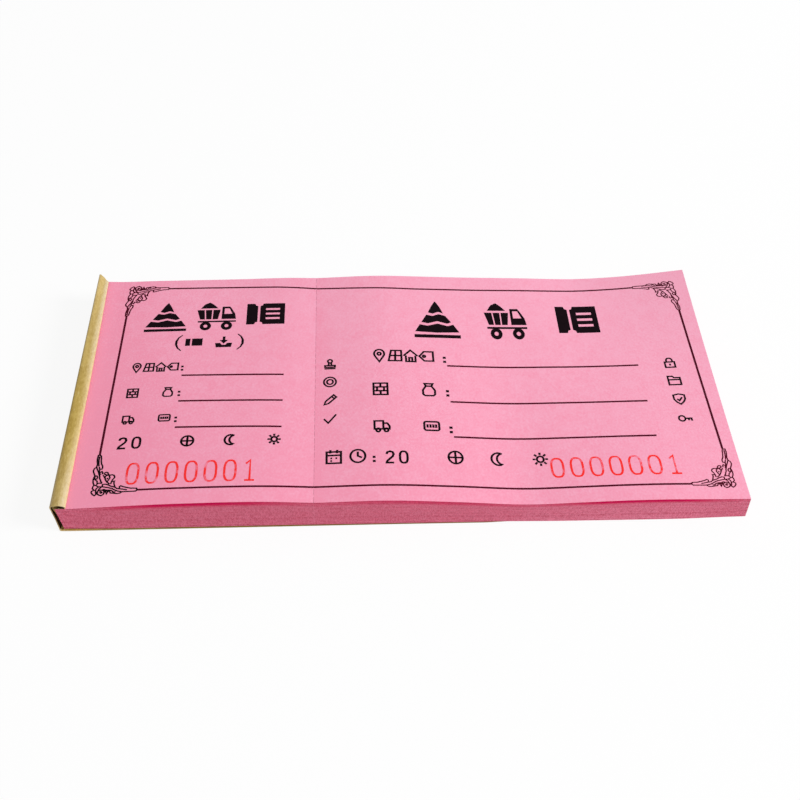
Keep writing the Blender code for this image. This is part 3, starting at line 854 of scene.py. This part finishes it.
def kraft_material(name, worn_and_shaded):
    """Kraft paper, with or without the wear and painted highlight, and the painted shade and darker tint,
    that are kept on a piece's points.
    """
    made, wire = new_material(name)
    blotch = wire.cloud((420, 170, 420), 3.0, 0.6)
    fibre = wire.cloud((2400, 700, 2400), 3.0, 0.7)
    fleck = ((wire.cloud((1800, 700, 1800), 1.0) - 0.68) * 9.0).clamp()
    share = (blotch - 0.5) * KRAFT_MOTTLE + (fibre - 0.5) * KRAFT_MOTTLE + 0.5
    colour = wire.blend(share.clamp(), KRAFT_DEEP, KRAFT_MID)
    if worn_and_shaded:
        # Pale wear on the folds and cut edges, partly painted highlight where the fold faces the lamp.
        colour = wire.blend((wire.kept("scuff") * (0.10 + fibre * 1.6)).clamp(), colour, KRAFT_PALE)
        # Painted shade in the hollows and on cut edges, and a darker tint on the outside of the wall.
        colour = wire.blend((wire.kept("soil") * (0.75 + fibre * 0.5)).clamp(), colour, KRAFT_SHADE_AND_TINT)
    colour = wire.blend(fleck * 0.3, colour, KRAFT_FLECK)
    wire.finish(colour, 0.72 + fibre * 0.16, fibre + blotch * 0.5, KRAFT_RELIEF, gloss=0.2)
    return made


kraft = kraft_material("kraft", False)
spine_lining = spine_sheet("spine_lining", out=0.27, thickness=KRAFT - 0.02, inset=0.08, slant=1.7,
                           wander=0.06, material=kraft)
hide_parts("spine_panel")

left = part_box("back_cover")[0][0] / MM + MIDDLE_X
back_places = np.concatenate((np.linspace(left, 16, 12), np.linspace(20, LENGTH - BACK_INSET, 39)))
back_lining = flat_grid("back_lining", len(back_places) - 1, len(plain_lines) - 1)
column, row, _ = read_points(back_lining).T
x = pick(back_places, column)
run_out = np.clip((COVER_END + BACK_RUN_OUT - x) / BACK_RUN_OUT, 0, 1)
inset = np.maximum(cover_front(x), BACK_SETBACK) * run_out + BACK_INSET
back_y = inset + pick(plain_lines, row) * (DEPTH - inset - 0.2) / DEPTH
write_points(back_lining, to_book(x, back_y, rest_level(x, back_y) - KRAFT / 2 - PRESS_GAP))
apply_modifier(back_lining, "SOLIDIFY", thickness=KRAFT * MM, offset=0.0)
back_lining.data.materials.append(kraft)
bpy.ops.object.shade_smooth_by_angle(angle=SMOOTH)
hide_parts("back_cover")
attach(back_lining, "base")


# Kraft cover, loose part. The same sheet turns up at the lip, arches back over the bound edge, goes down
# the spine and lies under the book. Its folds are rolled and scuffed, with painted highlight where they face
# the lamp, painted shade darkens its front hollow and cut edges, and it stands proud at the far end.
kraft_scuffed = kraft_material("kraft_scuffed", True)
# Each line of the fold is (x, z) at the front end, half way and at the far end, and its wear and painted
# highlight.
LIP = (
    ((-3.00, 8.61), (-3.00, 8.61), (-3.00, 8.61), 0.0), ((-1.60, 8.61), (-1.60, 8.61), (-1.60, 8.61), 0.0),
    ((-0.30, 8.61), (-0.40, 8.61), (-0.87, 8.61), 0.0), ((-0.02, 8.64), (-0.14, 8.64), (-0.67, 8.63), 0.15),
    ((0.12, 8.73), (0.00, 8.73), (-0.54, 8.70), 0.35), ((0.16, 8.88), (0.04, 8.88), (-0.50, 8.78), 0.5),
    ((0.14, 9.03), (0.01, 9.04), (-0.52, 8.86), 0.55), ((0.04, 9.19), (-0.10, 9.18), (-0.59, 8.93), 0.62),
    ((-0.16, 9.34), (-0.29, 9.31), (-0.71, 8.99), 0.7), ((-0.43, 9.48), (-0.54, 9.42), (-0.87, 9.05), 0.65),
    ((-0.76, 9.60), (-0.82, 9.51), (-1.06, 9.12), 0.55), ((-1.12, 9.68), (-1.14, 9.58), (-1.27, 9.20), 0.3),
    ((-1.50, 9.73), (-1.50, 9.63), (-1.49, 9.30), 0.1),
)
BAND = (
    ((-1.50, 9.73), (-1.50, 9.63), (-1.49, 9.30), 0.1), ((-1.95, 9.70), (-1.95, 9.66), (-1.87, 9.52), 0.0),
    ((-2.40, 9.63), (-2.40, 9.67), (-2.28, 9.78), 0.0), ((-2.85, 9.52), (-2.85, 9.66), (-2.62, 10.02), 0.0),
    ((-3.18, 9.39), (-3.18, 9.60), (-2.86, 10.16), 0.15),
    ((-3.42, 9.25), (-3.34, 9.46), (-2.99, 10.15), 0.42),
    ((-3.53, 9.06), (-3.40, 9.24), (-3.06, 10.00), 0.42), ((-3.50, 8.74), (-3.37, 8.95), (-3.07, 9.70), 0.15),
    ((-3.22, 6.80), (-3.16, 6.90), (-2.96, 7.40), 0.0), ((-2.95, 4.70), (-2.95, 4.75), (-2.80, 5.00), 0.0),
)
UNDER = (1.0, 4.0, 10.0, 25.0, 50.0, 82.0, 105.0, 122.0, 140.0, COVER_END)
PANEL = (
    ((-2.95, 4.70), (-2.95, 4.75), (-2.80, 5.00), 0.0), ((-2.74, 2.50), (-2.74, 2.50), (-2.68, 2.60), 0.0),
    ((-2.57, 0.66), (-2.57, 0.66), (-2.56, 0.66), 0.1),
) + tuple(((x, z), (x, z), (x, z), scuff) for x, z, scuff in (
    (-2.54, 0.42, 0.5), (-2.47, 0.24, 0.6), (-2.33, 0.14, 0.5), (-2.10, 0.11, 0.1),
    *((station, 0.11, 0.0) for station in UNDER)))
HALF_WAY = 0.4
FAR_POWER = 1.7
FOLD_SMOOTH = math.radians(50)
FLAT_TOP = 0.3
WALL_X, WALL_LOW, WALL_HIGH = -2.4, 0.5, 9.0
FLAP_LOW, FLAP_HIGH = 8.0, 8.7
# Painted highlight at the far and front ends of the fold top and on the flat cut edge; wear down the wall and
# on the wall's cut edge.
FAR_HIGHLIGHT = 0.3
FRONT_HIGHLIGHT, FRONT_HIGHLIGHT_DEPTH = 0.25, 22.0
FOLD_HIGHLIGHT_Z = 8.8
WALL_WEAR, WALL_WEAR_X, WALL_WEAR_END, WALL_WEAR_FADE = 0.15, -3.0, 40, 10
FLAT_CUT_HIGHLIGHT, FLAT_CUT_END = 0.65, 12
WALL_CUT_WEAR, WALL_CUT_X = 0.5, -2.2
# Part way along the fold top the pale is held back and the kraft a little darker, and the outside of the wall
# darkens towards the far end.
DIM_PLACE, DIM_SPREAD, DIM_SHARE = 34.0, 17.0, 0.65
DIM_Z, DIM_RISE = 9.2, 0.25
DIM_TINT = 0.1
OUTER_TINT, OUTER_TINT_X, OUTER_TINT_Z, OUTER_TINT_START, OUTER_TINT_RISE = 0.09, -1.3, 5, 30, 20
# Painted shade in the front hollow, on the ledge under the pad and on the cut edges of the ledge, flap and
# wall.
HOLLOW = (-1.75, 9.05)
SHADE_DEPTH, SHADE_START, SHADE_X = 2.4, 1.3, 0.5
LEDGE_START, LEDGE_RUN, LEDGE_SHADE, LEDGE_RIM = 1, 12, 0.5, 0.4
FLAP_RIM = 0.9
WALL_RIM, WALL_RIM_LOW, WALL_RIM_HIGH, WALL_RIM_FADE = 0.55, 1.0, 8.6, 0.8


def dimmed(y, z):
    """A share that peaks part way along the top of the fold, where the pale is held back and the kraft a
    little darker.
    """
    on_top = np.clip((z - DIM_Z) / DIM_RISE, 0, 1)
    return DIM_SHARE * np.exp(-((y - DIM_PLACE) / DIM_SPREAD) ** 2) * on_top


def cover_wear_and_highlight(x, y, z, row, far, folded):
    """Wear on the folds, down the wall and along the cut front edge, with painted highlight on the lip, at
    both ends of the fold top and on the flat cut edge by the spine.
    """
    # Painted highlight on the top of the fold, towards the far end and the front end.
    worn = FAR_HIGHLIGHT * far + FRONT_HIGHLIGHT * np.clip(1 - y / FRONT_HIGHLIGHT_DEPTH, 0, 1)
    scuff = folded * (1 - dimmed(y, z)) + worn * (z > FOLD_HIGHLIGHT_Z)
    scuff = scuff + WALL_WEAR * np.clip((WALL_WEAR_END - y) / WALL_WEAR_FADE, 0, 1) * (x < WALL_WEAR_X)
    scuff = np.where((row == 0) & (z < FLAT_TOP) & (x < FLAT_CUT_END), FLAT_CUT_HIGHLIGHT, scuff)
    return np.where((row == 0) & (z > FLAT_TOP) & (x < WALL_CUT_X), WALL_CUT_WEAR, scuff)


def cover_shade_and_tint(x, y, z, row, points):
    """Painted shade on both faces in the hollow of the front end, on the ledge under the pad and on the cut
    edges, and a darker tint on the outside of the wall and part way along the fold top.
    """
    flat = z < FLAT_TOP
    walled = (x < WALL_X) & (z < WALL_HIGH) & (z > WALL_LOW)
    flap = (z > FLAP_LOW) & (z < FLAP_HIGH)
    ledge = np.clip((x - LEDGE_START) / LEDGE_RUN, 0, 1) * flat
    inward = np.hypot(points[:, 0] / MM + MIDDLE_X - HOLLOW[0], points[:, 2] / MM - HOLLOW[1]).reshape(2, -1)
    inward = np.where(walled, -points[:, 0].reshape(2, -1) / MM, inward)
    inside = inward < inward.mean(0)
    # Painted shade inside the hollow, fading in from the front end.
    hollow = np.clip(SHADE_START - y / SHADE_DEPTH, 0, 1) * (x < SHADE_X) * (row > 0)
    depth = np.where(flat, LEDGE_SHADE * ledge * (row < 2), hollow)
    # Painted shade on the cut edges of the wall, the ledge and the flap.
    shaded = WALL_RIM * np.clip(z - WALL_RIM_LOW, 0, 1) * walled
    shaded = shaded * np.clip((WALL_RIM_HIGH - z) / WALL_RIM_FADE, 0, 1)
    rim = np.where(row == 0, LEDGE_RIM * ledge + FLAP_RIM * flap + shaded, 0.0)
    # Darker tint on the outside of the wall, from part way along to the far end.
    outer_tint = OUTER_TINT * np.clip((y - OUTER_TINT_START) / OUTER_TINT_RISE, 0, 1) * (x < OUTER_TINT_X) * (z > OUTER_TINT_Z)
    outer_tint = np.maximum(outer_tint, DIM_TINT * dimmed(y, z))
    return np.where(inside, np.maximum(depth, rim), rim + outer_tint)


def cover_piece(name, section, overhang, nodes):
    """A bent run of the cover, from its section at the front end to its section at the far end."""
    rows = np.concatenate(([0, 0.002, 0.008, 0.02], np.linspace(0.05, 1, 22)))
    piece = flat_grid(name, len(section) - 1, len(rows) - 1)
    column, row, _ = read_points(piece).T
    column = column.astype(int)
    front, half, back = (np.array([line[part] for line in section])[column] for part in range(3))
    share = rows[row.astype(int)]
    near = np.clip(share / HALF_WAY, 0, 1)[:, None]
    far = np.clip((share - HALF_WAY) / (1 - HALF_WAY), 0, 1)[:, None]
    x, z = (front + (half - front) * near * near * (3 - 2 * near) + (back - half) * far ** FAR_POWER).T
    ahead, behind = np.array(overhang, float)[column].T
    y = -ahead + (DEPTH + ahead + behind) * share
    folded = np.array([line[3] for line in section])[column]
    write_points(piece, to_book(x, y, z))
    keep_value(piece, "scuff", cover_wear_and_highlight(x, y, z, row, far[:, 0], folded))
    piece.data.materials.append(kraft_scuffed)
    apply_modifier(piece, "SOLIDIFY", thickness=KRAFT * MM, offset=0.0)
    keep_value(piece, "soil", cover_shade_and_tint(x, y, z, row, read_points(piece)))
    bpy.ops.object.shade_smooth_by_angle(angle=FOLD_SMOOTH)
    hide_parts(*nodes)
    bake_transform(piece)
    return piece


LIP_BEHIND = (-0.2, -0.2, -0.4, -0.5, -0.6, -0.7, -0.7, -0.7, -0.65, -0.5, -0.3, -0.05, 0.25)
BAND_BEHIND = (0.25, 0.6, 0.85, 1.05, 1.15, 1.15, 1.1, 1.0, 0.8, 0.7)
lip_over = [(0, behind) for behind in LIP_BEHIND]
band_over = [(0, behind) for behind in BAND_BEHIND]
panel_over = [(0, 0.7), (0, 0.6), (0.05, 0.5), (0.1, 0.5)]
panel_over += [(-float(cover_front(line[0][0])), 0.45 - 0.002 * line[0][0]) for line in PANEL[4:]]
cover_piece("cover_lip", LIP, lip_over, ("hinge_flap", "cover_fold_strip"))
cover_piece("cover_band", BAND, band_over, ("cover_fold_strip", "cover_spine_wall"))
cover_piece("cover_panel", PANEL, panel_over, ("cover_spine_wall", "front_cover"))


# Table and light. A plain white sweep that takes the book's shadow, under a big soft lamp on the right, with
# even light from all round. The camera looks down on the front of the book.
FLOOR_GLOW = 0.90
ROOM = 0.45
CAMERA_PLACE = (-0.013085, -0.23346, 0.23787)
floor_white, wire = new_material("floor_white")
rays = ("Is Camera Ray", "Is Glossy Ray", "Is Transmission Ray")
seen = [wire.node("ShaderNodeLightPath", {}, {}, ray) for ray in rays]
tree = floor_white.node_tree
tree.nodes.remove(tree.nodes["Principled BSDF"])
plain = wire.node("ShaderNodeBsdfDiffuse", {}, {"Color": (0.90, 0.90, 0.90, 1)})
bright = wire.node("ShaderNodeEmission", {}, {"Color": (1, 1, 1, 1), "Strength": 1.0})
shown = (seen[0] + seen[1] + seen[2]).clamp() * FLOOR_GLOW
mixed = wire.node("ShaderNodeMixShader", {}, {0: shown, 1: plain, 2: bright})
tree.links.new(mixed.out, tree.nodes["Material Output"].inputs["Surface"])
bpy.ops.object.select_all(action="DESELECT")
bpy.ops.mesh.primitive_plane_add(size=20.0, location=(0, 0, -0.00003))
floor = bpy.context.object
floor.name = "floor"
floor.data.materials.append(floor_white)

world = bpy.data.worlds.new("soft_room")
bpy.context.scene.world = world
world.use_nodes = True
wire = Wire(world.node_tree)
seen = wire.node("ShaderNodeLightPath", {}, {}, "Is Camera Ray")
sky = world.node_tree.nodes["Background"]
sky.inputs["Color"].default_value = (1.0, 1.0, 1.0, 1.0)
world.node_tree.links.new((seen * (1.0 - ROOM) + ROOM).out, sky.inputs["Strength"])

lamp = bpy.data.lights.new("soft_lamp", "AREA")
lamp.shape = "DISK"
lamp.size = 0.9
lamp.energy = 45.0
lamp_object = bpy.data.objects.new("soft_lamp", lamp)
bpy.context.collection.objects.link(lamp_object)
lamp_object.location = (1.70, -0.40, 1.10)
lamp_object.rotation_mode = "QUATERNION"
lamp_object.rotation_quaternion = (-lamp_object.location).to_track_quat("-Z", "Y")

camera = bpy.data.cameras.new("camera")
camera.lens = 53.52
camera.sensor_width = 36.0
camera.clip_start = 0.01
camera_object = bpy.data.objects.new("camera", camera)
bpy.context.collection.objects.link(camera_object)
right, up, ahead = (0.9990, -0.0405, 0.0174), (0.0166, 0.7125, 0.7014), (0.0408, 0.7005, -0.7125)
turn = Matrix((right, up, [-part for part in ahead])).transposed().to_4x4()
camera_object.matrix_world = Matrix.Translation(CAMERA_PLACE) @ turn
bpy.context.scene.camera = camera_object
bpy.context.scene.view_settings.view_transform = "Standard"
